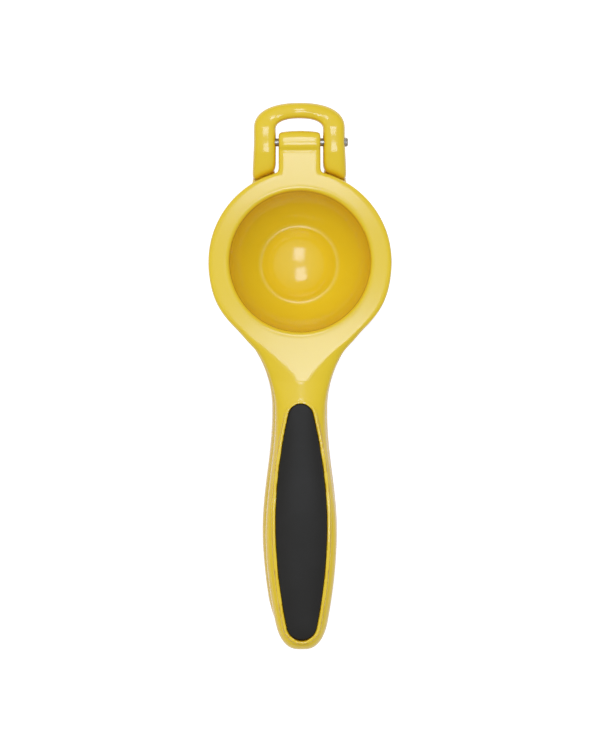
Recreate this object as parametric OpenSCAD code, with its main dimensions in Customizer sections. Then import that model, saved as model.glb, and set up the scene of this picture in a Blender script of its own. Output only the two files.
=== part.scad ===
// Hinged lemon squeezer: two cast levers on one pin.
// The press lever carries a hollow cup that swings down into the strainer bowl
// of the bowl lever. Both handles carry a soft pad on a rigid carrier.
// X runs across the object, +Y points to the hinge and +Z up. The origin is the
// middle of the flat that the bowl stands on.

/* [Head] */
// Outer diameter of the press ring and of the bowl rim
head_d = 78; // [74:1:84]
// Thickness of the press ring
ring_t = 6; // [5:0.5:7]
// Thickness of the bowl rim
rim_t = 5; // [4:0.5:6]
// Height of the press ring's underside above the base
part_h = 36; // [35.5:0.5:40]
// Gap between the closed ring and rim
rim_gap = 0.3; // [0.2:0.05:0.5]
// Edge radius of the ring and the rim
edge_r = 2; // [1:0.25:2.4]

/* [Cup] */
// Inner diameter of the cup at its mouth
cup_d = 60; // [56:0.5:61]
// Wall of the cup
cup_wall = 2.6; // [2:0.1:3.2]
// Depth of the straight mouth above the round part of the cup
cup_lip = 1; // [0.5:0.25:2]
// Diameter of the raised centre of the cup
bump_d = 32.8; // [28:0.4:36]
// Height of the raised centre over the groove round it
bump_h = 4.7; // [3.5:0.1:6]

/* [Bowl] */
// Radial gap between the cup's outside and the bowl's inside
bowl_gap = 1.2; // [1:0.1:2]
// Wall of the bowl
bowl_wall = 3; // [2.4:0.1:3.4]
// Thickness of the bowl's flat floor
floor_t = 3; // [2:0.25:4]
// Diameter of the flat that the bowl stands on
base_d = 24; // [22:0.5:30]
// Diameter of a drain hole
drain_d = 4.4; // [3:0.2:5]
// Radius of the first ring of drain holes
drain_row_r = 7.8; // [7.6:0.1:8.4]
// Distance from one ring of drain holes to the next
drain_row_step = 7; // [6.6:0.1:7.4]
// Holes in the first ring, and how many more each next ring has
drain_count = 6; // [4:1:7]
// Number of rings of drain holes
drain_rows = 3; // [1:1:3]

/* [Hinge] */
// Distance from the bowl's axis to the pin's axis
hinge_y = 50.85; // [49:0.5:54]
// Depth of the pin's axis under the ring's top
pin_drop = 3.5; // [3:0.25:4]
// Diameter of the pin
pin_d = 3.5; // [3:0.25:4.5]
// Length of the pin that stands out on the right
pin_proud = 1.3; // [0.5:0.1:2]
// Radial clearance of the pin in the arms
pin_press_fit = 0.02; // [0.01:0.01:0.04]
// Radial clearance of the pin in the knuckle
pin_run_fit = 0.08; // [0.05:0.01:0.1]
// Diameter of the knuckle
knuckle_d = 10; // [9:0.25:11]
// Width of the tongue and knuckle
tongue_w = 17.8; // [15:0.2:20]
// Gap between the tongue and each arm
arm_gap = 1.1; // [0.6:0.1:1.6]
// Width of an arm at the pin
arm_w = 9.4; // [8:0.2:10]
// Height of an arm at the pin
arm_h = 9; // [8.4:0.2:10]
// Height of an arm where it leaves the rim
root_h = 7.6; // [6.6:0.2:8.6]
// Diameter of the bail's crossbar
bar_d = 6.7; // [5:0.1:8]
// Clear distance from the knuckle to the crossbar
loop_gap = 5.4; // [5:0.2:8]
// Rise of the bail's crest over the press ring's top
crest_rise = 0.4; // [0:0.1:1]
// Distance from the pin's axis to the bail's crest
crest_dy = 3; // [2:0.5:5]
// Radius of the bail's top along its length
crest_r = 38; // [34:1:60]
// Clearance between the arms and the press ring's edge
ring_clear = 0.5; // [0.4:0.1:1]
// Length of the bail's rounded end
bail_bend = 11.6; // [10:0.2:14]
// How much further out an arm stands at the rim than at the pin
arm_flare = 0.5; // [0:0.1:1]
// Solid wall over the pin's hidden left end
pin_wall = 1.5; // [1:0.1:3]

/* [Handles] */
// Distance from the bowl's axis to the ends of the handles
reach = 165.2; // [155:1:185]
// Distance from the bowl's axis to the narrowest place
neck_y = 64; // [60:1:70]
// Width of the press handle at its narrowest place
neck_w = 21.5; // [20:0.5:24]
// Distance from the bowl's axis to the widest place
belly_y = 117; // [108:1:124]
// Width of the press handle at its widest place
belly_w = 29.6; // [27:0.4:34]
// Width of the end before it is rounded
tip_w = 16.4; // [15:0.4:19]
// How much wider the bowl handle is than the press handle
bowl_handle_extra = 2.2; // [0:0.2:3]
// Thickness of both handles
handle_t = 13; // [12:0.5:15]
// Rise of the press handle's back over the ring's top
back_rise = 4; // [2:0.5:7]
// Height of the bowl neck's underside at the rim
gusset_z = 15; // [12:0.5:18]
// Lift of the bowl handle's end over its lowest place
tip_lift = 1.5; // [0.5:0.25:3]
// Wall left beside and in front of the channel inside each handle
channel_wall = 4.4; // [4:0.2:5]
// Depth of that channel
channel_depth = 4.4; // [3:0.2:4.6]

/* [Grips] */
// Distance from the bowl's axis to the near end of the grips
grip_near = 59.8; // [58:0.5:64]
// Distance from the handle's end to the far end of the grips
grip_far_inset = 3.8; // [3.4:0.2:6]
// Greatest width of a grip
grip_w = 22.3; // [20:0.5:23]
// Width of a grip at its near end before it is rounded
grip_near_w = 8.4; // [8:0.2:10]
// Width of a grip at its far end before it is rounded
grip_far_w = 10.4; // [10.2:0.2:11]
// Thickness of the soft pad
grip_t = 2.8; // [2.2:0.2:3.2]
// Thickness of the rigid carrier
core_t = 1.8; // [1.4:0.2:2.2]
// Clearance of a grip in its pocket
grip_fit = 0.15; // [0.1:0.05:0.25]
// How far a grip stands over the casting round it
grip_proud = 0.35; // [0.2:0.05:0.6]
// Diameter of a carrier's snap pegs
peg_d = 4; // [3:0.25:4.5]
// Radial clearance of a snap peg in its hole
peg_fit = 0.15; // [0.1:0.05:0.25]
// Distance of the near snap peg from the bowl's axis
peg_near = 88; // [86:1:96]
// Distance of the far snap peg from the bowl's axis
peg_far = 136; // [128:1:140]

/* [Hidden] */
$fn = 96;
eps = 0.01;          // overlap of parts that are joined, and of cuts past a face
bury = 0.12;         // how far a handle's skin starts inside the ring and the rim
flare_bury = 0.35;   // how far the neck's skin starts inside the ring's edge
cut = 3;             // how far a cut runs past the surface that it opens
blunt = 0.96;        // share of a full round that an end has, so that it ends in a small flat
end_flat = 0.2;      // what a rounded end's radius is short of half its width
ring_pts = 24;       // points round a handle's section
bail_pts = 16;       // points round the bail's section
grip_pts = 10;       // points across a grip's crown
end_steps = 5;       // stations in a rounded end
body_steps = 18;     // stations between two rounded ends
arm_steps = 10;      // stations along an arm of the bail
bend_steps = 12;     // stations in a half of the bail's rounded end
handle_fall = 1.8;   // power of the handle's narrowing towards its end
near_fall = 1.86;    // power of the grip's narrowing towards the head
far_fall = 2;        // power of the grip's narrowing towards the end
back_fall = 0.6;     // share of its rise that the press handle's back loses by its end
end_share = 0.45;    // share of a handle's thickness that its end keeps
press_mid = 0.45;    // where the press handle is widest, as a share of its thickness
bowl_mid = [0.14, 0.55];    // the same for the bowl handle, at the rim and past the neck
press_round = [0.3, 0.9];   // roundness of the press handle's back, at the ring and past the neck
bowl_round = [1.7, 0.9];    // roundness of the bowl handle's back, at the rim and past the neck
inner_round = [0.3, 0.6];   // roundness of the handles' inner faces, at the head and past the neck
bail_round = 0.8;    // roundness of the bail's section and of its bend, 1 being an ellipse
peg_out = 1.6;       // how far a snap peg stands into its channel

head_r = head_d / 2;
cup_r = cup_d / 2;
dome_r = cup_r + cup_wall;
bowl_r = dome_r + bowl_gap;
shell_r = bowl_r + bowl_wall;
base_r = base_d / 2;
ring_top = part_h + ring_t;
rim_top = part_h - rim_gap;
cup_z = ring_top - cup_lip;                       // centre of the cup's sphere
bump_r = bump_d / 2;
groove_z = cup_z - sqrt(cup_r * cup_r - bump_r * bump_r);
bump_ball_r = (bump_r * bump_r + bump_h * bump_h) / (2 * bump_h);
bump_z = groove_z + bump_h - bump_ball_r;         // centre of the raised centre's sphere
bowl_z = sqrt(shell_r * shell_r - base_r * base_r);  // centre of the bowl's spheres

pin_z = ring_top - pin_drop;
arm_x = tongue_w / 2 + arm_gap + arm_w / 2;       // middle line of the right arm
side_x = arm_x + arm_w / 2;                       // outer side of the right arm
pin_left = pin_wall - side_x;                     // hidden end of the pin
loop_y = hinge_y + knuckle_d / 2 + loop_gap;      // inner side of the crossbar
bar_y = loop_y + bar_d / 2;
bend_y = loop_y + bar_d - bail_bend;              // where the bail's bend starts
crest_y = hinge_y + crest_dy;
arm_root_y = sqrt(head_r * head_r - side_x * side_x) - 1;  // just inside where the rim's edge meets the arm

neck_hw = neck_w / 2;
belly_hw = belly_w / 2;
tip_hw = tip_w / 2;
tip_r = tip_hw - end_flat;
flare_r = (neck_hw * neck_hw + neck_y * neck_y - head_r * head_r) / (2 * (head_r - neck_hw));
handle_start = neck_y * head_r / (head_r + flare_r) - 1;  // just inside where the neck meets the ring
rise_near = neck_y - 12;                          // where the press handle's back starts to rise
rise_far = belly_y - 8;                           // where it is highest
thin_far = head_r + 5;                            // where the press handle is as thin as the ring
thick_near = neck_y + 18;                         // where it has its full thickness
round_near = head_r - 6;                          // where the press handle's back is boxy
round_far = neck_y - 8;                           // where it is fully round
gusset_near = head_r - 4;                         // where the bowl handle's back is a keel
gusset_far = neck_y + 6;                          // where it is fully round
rest_y = belly_y + 8;                             // lowest place of the bowl handle
grip_far = reach - grip_far_inset;
grip_belly = (grip_near + grip_far) / 2;
grip_near_r = grip_near_w / 2 - end_flat;
grip_far_r = grip_far_w / 2 - end_flat;
grip_depth = grip_t + core_t - grip_proud;
channel_r = 4;
channel_near = neck_y + 3 * channel_r;
channel_far = reach - 3 * channel_r;

// ---- curves shared by the handles, their pockets and their grips ----

function clamp01(t) = max(0, min(1, t));
function ease(t) = 0.5 - 0.5 * cos(180 * clamp01(t));
function mix(a, b, t) = a + (b - a) * t;
function span(a, b, y) = clamp01((y - a) / (b - a));

// Share of a full half-width that a corner of radius r leaves at distance d from an end.
function round_cut(d, r) = d >= r ? 0 : r - r * sqrt(1 - blunt * pow(1 - max(0, d) / r, 2));

// Half-width of a handle at distance y from the bowl's axis.
function handle_hw(y, extra) =
    y < neck_y ? neck_hw + flare_r - sqrt(flare_r * flare_r - pow(neck_y - y, 2))
               + extra * span(handle_start, neck_y, y) - flare_bury * (1 - span(handle_start, head_r, y))
  : y < belly_y ? extra + mix(neck_hw, belly_hw, ease((y - neck_y) / (belly_y - neck_y)))
  : extra + belly_hw - (belly_hw - tip_hw) * pow((y - belly_y) / (reach - belly_y), handle_fall)
    - round_cut(reach - y, tip_r);

// Half-width of a grip's outline at distance y.
function grip_hw(y) =
    (y < grip_belly
        ? mix(grip_w, grip_near_w, pow((grip_belly - y) / (grip_belly - grip_near), near_fall))
        : mix(grip_w, grip_far_w, pow((y - grip_belly) / (grip_far - grip_belly), far_fall))) / 2
    - round_cut(y - grip_near, grip_near_r)
    - round_cut(grip_far - y, grip_far_r);

// Half-width of the channel inside a handle.
function channel_hw(y) = handle_hw(y, 0) - channel_wall
    - round_cut(y - channel_near, channel_r) - round_cut(channel_far - y, channel_r);

// How much of its thickness a handle has left at its end.
function tip_swell(y) = mix(end_share, 1, sqrt(1 - pow(1 - clamp01((reach - y) / tip_r), 2)));

// Outer (back) and inner heights of the press handle.
function press_back(y) = ring_top - bury + back_rise * ease(span(rise_near, rise_far, y))
    * (1 - back_fall * ease(span(rise_far, reach, y)));
function press_inner(y) = press_back(y) - mix(ring_t - 2 * bury, handle_t, ease(span(thin_far, thick_near, y)));

// Outer (back) and inner heights of the bowl handle, whose back is its underside.
function bow(y) = 1 - sin(90 * span(head_r, rest_y, y));
function bowl_back(y) = grip_proud + gusset_z * bow(y) + tip_lift * pow(span(rest_y, reach, y), 2);
function bowl_inner(y) = bowl_back(y) + handle_t
    + (rim_top - bury - grip_proud - gusset_z - handle_t) * bow(y);

// One profile of a lever's handle at distance y:
// [half-width, middle height, back height, inner height, back power, inner power].
function press_profile(y) = let (
        s = tip_swell(y), zb = press_back(y), zi = press_inner(y), zm = mix(zi, zb, press_mid))
    [handle_hw(y, 0), zm, zm + (zb - zm) * s, zm + (zi - zm) * s,
     mix(press_round[0], press_round[1], ease(span(round_near, round_far, y))),
     mix(inner_round[0], inner_round[1], span(head_r, neck_y, y))];
function bowl_profile(y) = let (
        s = tip_swell(y), zb = bowl_back(y), zi = bowl_inner(y),
        t = ease(span(gusset_near, gusset_far, y)), zm = mix(zi, zb, mix(bowl_mid[0], bowl_mid[1], t)))
    [handle_hw(y, bowl_handle_extra / 2), zm, zm + (zb - zm) * s, zm + (zi - zm) * s,
     mix(bowl_round[0], bowl_round[1], t), mix(inner_round[0], inner_round[1], t)];

// The same for either lever, and the direction from its back to its inner face.
function profile(bowl_side, y) = bowl_side ? bowl_profile(y) : press_profile(y);
function back(bowl_side, y) = bowl_side ? bowl_back(y) : press_back(y);
function inward(bowl_side) = bowl_side ? 1 : -1;

// Point of a superellipse quadrant pair, c and s being a cosine and a sine.
function soft(c, p) = sign(c) * pow(abs(c), p);

// Section ring of a handle, counted round from +X towards +Z.
function handle_ring(y, q) = [for (i = [0 : ring_pts - 1])
    let (a = 360 * i / ring_pts, up = q[2] > q[3] ? 1 : -1, s = sin(a) * up,
         p = s >= 0 ? q[4] : q[5])
    [q[0] * soft(cos(a), p), -y, q[1] + (s >= 0 ? q[2] - q[1] : q[1] - q[3]) * soft(s, p)]];

// Height of a handle's back at x, above or under its middle.
function crown(x, q) = q[1] + (q[2] - q[1]) * pow(1 - pow(min(1, abs(x) / q[0]), 2 / q[4]), q[4] / 2);

// Section of a box between heights a and b.
function box_ring(y, hw, a, b) = let (lo = min(a, b), hi = max(a, b))
    [[hw, -y, lo], [hw, -y, hi], [-hw, -y, hi], [-hw, -y, lo]];

// Distances from near to far, closer together in the rounded ends.
function stations(near, far, r1, r2) = concat(
    [for (i = [0 : end_steps - 1]) near + r1 * (1 - cos(90 * i / end_steps))],
    [for (i = [0 : body_steps]) mix(near + r1, far - r2, i / body_steps)],
    [for (i = [1 : end_steps]) far - r2 + r2 * sin(90 * i / end_steps)]);

// Solid skin over a list of rings with the same number of points each.
module skin(rings) {
    n = len(rings[0]);
    last = len(rings) - 1;
    polyhedron(
        points = [for (r = rings) each r],
        faces = concat(
            [[for (i = [n - 1 : -1 : 0]) n - 1 - i]],
            [for (k = [0 : last - 1], i = [0 : n - 1])
                let (a = k * n + i, b = k * n + (i + 1) % n) [a, a + n, b + n, b]],
            [[for (i = [0 : n - 1]) last * n + n - 1 - i]]),
        convexity = 6);
}

// Rectangle from (x0, z0) with all its corners rounded by r.
module soft_rect(x0, z0, w, h, r) {
    translate([x0 + r, z0]) square([w - 2 * r, h]);
    translate([x0, z0 + r]) square([w, h - 2 * r]);
    for (x = [x0 + r, x0 + w - r], z = [z0 + r, z0 + h - r]) translate([x, z]) circle(r);
}

module disc_half(r, z) {
    intersection() {
        translate([0, z]) circle(r);
        translate([0, z - r]) square([r, 2 * r]);
    }
}

// ---- press lever ----

module press_outer() {
    rotate_extrude() {
        soft_rect(cup_r - edge_r, part_h, head_r - cup_r + edge_r, ring_t, edge_r);
        intersection() {
            disc_half(dome_r, cup_z);
            square([dome_r, ring_top - edge_r]);
        }
    }
}

module press_hollow() {
    rotate_extrude() difference() {
        union() {
            disc_half(cup_r, cup_z);
            translate([0, cup_z]) square([cup_r, cup_lip + cut]);
        }
        intersection() {
            disc_half(bump_ball_r, bump_z);
            square([bump_r, cup_z]);
        }
    }
    rotate_extrude() intersection() {
        disc_half(bump_ball_r - cup_wall, bump_z);
        square([bump_r, cup_z]);
    }
}

module tongue() {
    root_y = sqrt(head_r * head_r - tongue_w * tongue_w / 4);
    fillet_r = arm_gap;
    translate([0, 0, part_h]) linear_extrude(ring_t) {
        translate([-tongue_w / 2, cup_r + edge_r]) square([tongue_w, hinge_y - cup_r - edge_r]);
        difference() {
            translate([-tongue_w / 2 - fillet_r, root_y - 2 * edge_r])
                square([tongue_w + 2 * fillet_r, 2 * edge_r + fillet_r]);
            for (s = [-1, 1]) translate([s * (tongue_w / 2 + fillet_r), root_y + fillet_r]) circle(fillet_r);
        }
    }
    translate([-tongue_w / 2, hinge_y, pin_z]) rotate([0, 90, 0]) cylinder(d = knuckle_d, h = tongue_w);
}

module handle_skin(bowl_side) {
    skin([for (y = stations(handle_start, reach, 4, tip_r)) handle_ring(y, profile(bowl_side, y))]);
}

// Pocket for a grip, open at the handle's back.
module grip_pocket(bowl_side) {
    skin([for (y = stations(grip_near, grip_far, grip_near_r, grip_far_r))
        box_ring(y, grip_hw(y), back(bowl_side, y) + inward(bowl_side) * grip_depth,
                 back(bowl_side, y) - inward(bowl_side) * cut)]);
}

// Channel in the inner face of a handle.
module channel(bowl_side) {
    skin([for (y = stations(channel_near, channel_far, channel_r, channel_r))
        let (zi = profile(bowl_side, y)[3])
        box_ring(y, channel_hw(y), zi - inward(bowl_side) * channel_depth, zi + inward(bowl_side) * cut)]);
}

module peg_holes(bowl_side) {
    for (y = [peg_near, peg_far])
        translate([0, -y, min(back(bowl_side, y), profile(bowl_side, y)[3])])
            cylinder(d = peg_d + 2 * peg_fit, h = handle_t);
}

module press_lever() {
    color([0.87, 0.71, 0.18]) difference() {
        union() {
            press_outer();
            tongue();
            handle_skin(false);
        }
        press_hollow();
        grip_pocket(false);
        channel(false);
        peg_holes(false);
        translate([-tongue_w, hinge_y, pin_z]) rotate([0, 90, 0])
            cylinder(d = pin_d + 2 * pin_run_fit, h = 2 * tongue_w);
    }
}

// ---- bowl lever ----

module bowl_outer() {
    rotate_extrude() {
        soft_rect(bowl_r - edge_r, rim_top - rim_t, head_r - bowl_r + edge_r, rim_t, edge_r);
        intersection() {
            disc_half(shell_r, bowl_z);
            square([shell_r, rim_top - edge_r]);
        }
    }
}

module bowl_hollow() {
    rotate_extrude() intersection() {
        union() {
            disc_half(bowl_r, bowl_z);
            translate([0, bowl_z]) square([bowl_r, rim_top - bowl_z + cut]);
        }
        translate([0, floor_t]) square([bowl_r, rim_top]);
    }
}

module drains() {
    for (row = [0 : drain_rows - 1], i = [0 : (row + 1) * drain_count - 1])
        rotate(360 * (i + row / 2) / ((row + 1) * drain_count))
            translate([drain_row_r + row * drain_row_step, 0, -eps]) cylinder(d = drain_d, h = bowl_z, $fn = 32);
}

// Half-height of the bail and the height of its middle line, under a top that is one long arc.
function bail_hh(y) = (y < hinge_y ? mix(root_h, arm_h, span(arm_root_y, hinge_y, y))
                                   : mix(arm_h, bar_d, ease(span(hinge_y, bar_y, y)))) / 2;
function bail_z(y) = ring_top + crest_rise - pow(y - crest_y, 2) / (2 * crest_r) - bail_hh(y);

// Point at angle a on a bend that starts at x and is b long.
function bend_point(a, x, b) = [x * soft(cos(a), bail_round), bend_y + b * soft(sin(a), bail_round)];

// Stations of the bail's right half, up to the crossbar's middle: [x, y, heading, half-width].
function bail_half() = concat(
    [for (i = [0 : arm_steps]) let (y = mix(arm_root_y, bend_y, i / arm_steps),
                                    flare = arm_flare * (1 - span(arm_root_y, hinge_y, y)))
        [arm_x + flare / 2, y, 0, (arm_w + flare) / 2]],
    [for (i = [1 : bend_steps])
        let (a = 90 * i / bend_steps,
             outer = bend_point(a, side_x, bail_bend), inner = bend_point(a, side_x - arm_w, loop_y - bend_y),
             mid = (outer + inner) / 2, across = outer - inner)
        [mid[0], mid[1], atan2(across[1], across[0]), norm(across) / 2]]);

function bail_ring(s, side) = [for (i = [0 : bail_pts - 1])
    let (a = 360 * i / bail_pts, u = s[3] * soft(cos(a), bail_round))
    [side * (s[0] + u * cos(s[2])), s[1] + u * sin(s[2]), bail_z(s[1]) + bail_hh(s[1]) * soft(sin(a), bail_round)]];

// The loop behind the pin, with its arms cut clear of the closed press ring.
module bail() {
    half = bail_half();
    n = len(half) - 1;
    difference() {
        skin(concat([for (k = [0 : n]) bail_ring(half[k], -1)], [for (k = [n - 1 : -1 : 0]) bail_ring(half[k], 1)]));
        translate([0, 0, rim_top - bury]) cylinder(r = head_r + ring_clear, h = 2 * ring_t);
    }
}

module bowl_lever() {
    color([0.87, 0.71, 0.18]) difference() {
        union() {
            bowl_outer();
            handle_skin(true);
            bail();
        }
        bowl_hollow();
        drains();
        grip_pocket(true);
        channel(true);
        peg_holes(true);
        translate([pin_left, hinge_y, pin_z]) rotate([0, 90, 0])
            cylinder(d = pin_d + 2 * pin_press_fit, h = 2 * side_x);
    }
}

// ---- pin ----

module hinge_pin() {
    chamfer = pin_d / 10;
    length = side_x + pin_proud - pin_left;
    color([0.78, 0.78, 0.8]) translate([pin_left, hinge_y, pin_z]) rotate([0, 90, 0]) {
        cylinder(d1 = pin_d - 2 * chamfer, d2 = pin_d, h = chamfer);
        translate([0, 0, chamfer]) cylinder(d = pin_d, h = length - 2 * chamfer);
        translate([0, 0, length - chamfer]) cylinder(d1 = pin_d, d2 = pin_d - 2 * chamfer, h = chamfer);
    }
}

// ---- grips ----

// Soft pad: flat on its carrier, crowned like the handle's back.
function pad_ring(bowl_side, y) = let (
        q = profile(bowl_side, y), w = grip_hw(y) - grip_fit, dir = -inward(bowl_side),
        zf = back(bowl_side, y) - dir * (grip_depth - core_t),
        row = concat([[w, -y, zf]],
            [for (i = [0 : grip_pts]) let (x = w * (1 - 2 * i / grip_pts))
                [x, -y, crown(x, q) + dir * grip_proud]],
            [[-w, -y, zf]]))
    bowl_side ? [for (i = [len(row) - 1 : -1 : 0]) row[i]] : row;

function grip_stations() = stations(grip_near + grip_fit, grip_far - grip_fit, grip_near_r, grip_far_r);

module grip_pad(bowl_side) {
    skin([for (y = grip_stations()) pad_ring(bowl_side, y)]);
}

// Rigid carrier: a plate on the pocket's floor with two pegs through the handle's web.
module grip_carrier(bowl_side) {
    dir = -inward(bowl_side);
    skin([for (y = grip_stations())
        box_ring(y, grip_hw(y) - grip_fit, back(bowl_side, y) - dir * (grip_depth - eps),
                 back(bowl_side, y) - dir * (grip_depth - core_t))]);
    for (y = [peg_near, peg_far]) {
        web = abs(profile(bowl_side, y)[3] - back(bowl_side, y)) - channel_depth - grip_depth;
        translate([0, -y, back(bowl_side, y) - dir * (grip_depth - core_t / 2)])
            mirror([0, 0, bowl_side ? 0 : 1]) cylinder(d = peg_d, h = core_t / 2 + web + peg_out, $fn = 48);
    }
}

module press_grip() { color([0.2, 0.2, 0.2]) grip_pad(false); }
module press_grip_core() { color([0.32, 0.32, 0.33]) grip_carrier(false); }
module bowl_grip() { color([0.2, 0.2, 0.2]) grip_pad(true); }
module bowl_grip_core() { color([0.32, 0.32, 0.33]) grip_carrier(true); }

press_lever();
bowl_lever();
hinge_pin();
press_grip();
press_grip_core();
bowl_grip();
bowl_grip_core();
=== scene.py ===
"""Hinged lemon squeezer: cast levers, pin, soft grips and carriers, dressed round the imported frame."""

import logging
import math
from abc import ABC, abstractmethod
from collections.abc import Callable
from dataclasses import dataclass
from enum import Enum

import bpy
import numpy as np
from mathutils import Matrix, Vector


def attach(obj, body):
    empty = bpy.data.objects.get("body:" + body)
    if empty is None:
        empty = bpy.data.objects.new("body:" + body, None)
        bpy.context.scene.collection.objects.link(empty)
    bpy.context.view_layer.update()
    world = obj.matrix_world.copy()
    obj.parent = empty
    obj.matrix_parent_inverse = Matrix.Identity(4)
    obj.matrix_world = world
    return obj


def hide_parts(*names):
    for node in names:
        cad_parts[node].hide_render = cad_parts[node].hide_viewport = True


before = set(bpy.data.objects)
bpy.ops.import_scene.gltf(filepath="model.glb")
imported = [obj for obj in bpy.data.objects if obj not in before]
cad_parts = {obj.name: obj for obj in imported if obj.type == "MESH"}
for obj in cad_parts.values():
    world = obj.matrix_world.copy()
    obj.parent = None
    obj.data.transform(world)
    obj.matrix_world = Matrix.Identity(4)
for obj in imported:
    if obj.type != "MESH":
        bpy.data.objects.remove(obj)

LOG = logging.getLogger("lemon_squeezer")
# Steepness at rest, kept on each vertex, drives the enamel's painted shade on steep faces.
STEEPNESS = "steepness"
STEEP_POWER = 3.0
MM = 0.001
TINY = 1e-9
FAR_OFF = 50.0
LEAST_SLOPE_SQUARED = 0.04
LARGEST_MOVE = 0.3
WHITE = (1.0, 1.0, 1.0, 1.0)
Array = np.ndarray
Shape = Callable[[Array, Array, Array], Array]
Triple = tuple[float, float, float]
Colour = Triple
Runs = tuple[Triple, ...]


class Side(Enum):
    """Which lever a handle, a grip or a carrier belongs to."""

    PRESS = "press"
    BOWL = "bowl"

    @property
    def inward(self) -> int:
        """Direction along Z from the handle's back to its inner face."""
        return -1 if self is Side.PRESS else 1


class Surface(Enum):
    """Material slots of the part."""

    ENAMEL = "paint"
    PIN_STEEL = "pin_steel"
    SOFT_PAD = "soft_pad"
    CARRIER = "carrier"


# ---------------------------------------------------------------- curves and shapes, in millimetres


def mix(a: Array | float, b: Array | float, t: Array | float) -> Array | float:
    """Value a share t of the way from a to b."""
    return a + (b - a) * t


def span(near: float, far: float, y: Array | float) -> Array:
    """Share of the way from near to far that y has gone, from 0 to 1."""
    return np.clip((y - near) / (far - near), 0.0, 1.0)


def ease(t: Array | float) -> Array:
    """Share t with a soft start and a soft end."""
    return 0.5 - 0.5 * np.cos(np.pi * t)


def join(a: Array, b: Array, fillet: Array | float) -> Array:
    """Union of two shapes.

    Args:
        a: Distances to the first shape.
        b: Distances to the second shape.
        fillet: Width over which the two flow into each other.

    Returns:
        Distances to the joined shape.
    """
    width = np.maximum(fillet, 1e-6)
    near = np.maximum(width - np.abs(a - b), 0.0) / width
    return np.minimum(a, b) - near**3 * width / 6


def meet(a: Array, b: Array, edge: Array | float) -> Array:
    """Common part of two shapes, with its edge softened over the given width."""
    return -join(-a, -b, edge)


def carve(a: Array, b: Array, edge: Array | float) -> Array:
    """Shape a without shape b, with the cut's edge softened over the given width."""
    return meet(a, -b, edge)


def round_corner(a: Array, b: Array, radius: float) -> Array:
    """Common part of two shapes whose corner is a true arc of the given radius."""
    outer = np.hypot(np.maximum(a + radius, 0.0), np.maximum(b + radius, 0.0))
    return np.minimum(np.maximum(a, b), -radius) + outer


def oval(
    u: Array, v: Array, half_u: Array, half_v: Array, power: Array | float, drift: Array | float = 0.0
) -> Array:
    """Distance to a superellipse.

    Args:
        u: Offset along the first axis.
        v: Offset along the second axis.
        half_u: Half-size along the first axis.
        half_v: Half-size along the second axis.
        power: Power of the superellipse, 2 being an ellipse.
        drift: Change of half_u per unit along the shape's length.

    Returns:
        Distances that are true near the surface.
    """
    a = np.abs(u) / half_u
    b = np.abs(v) / half_v
    total = np.maximum(a**power + b**power, TINY)
    size = total ** (1 / power)
    scale = size ** (1 - power)
    slope_u = scale * a ** (power - 1) / half_u
    slope_v = scale * b ** (power - 1) / half_v
    slope_along = slope_u * a * drift
    slope = np.sqrt(slope_u**2 + slope_v**2 + slope_along**2)
    return (size - 1) / np.maximum(slope, 0.5 / np.maximum(half_u, half_v))


# ---------------------------------------------------------------- skins


def add_object(name: str, data: bpy.types.ID) -> bpy.types.Object:
    """Adds an object to the scene."""
    made = bpy.data.objects.new(name, data)
    bpy.context.scene.collection.objects.link(made)
    return made


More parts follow.
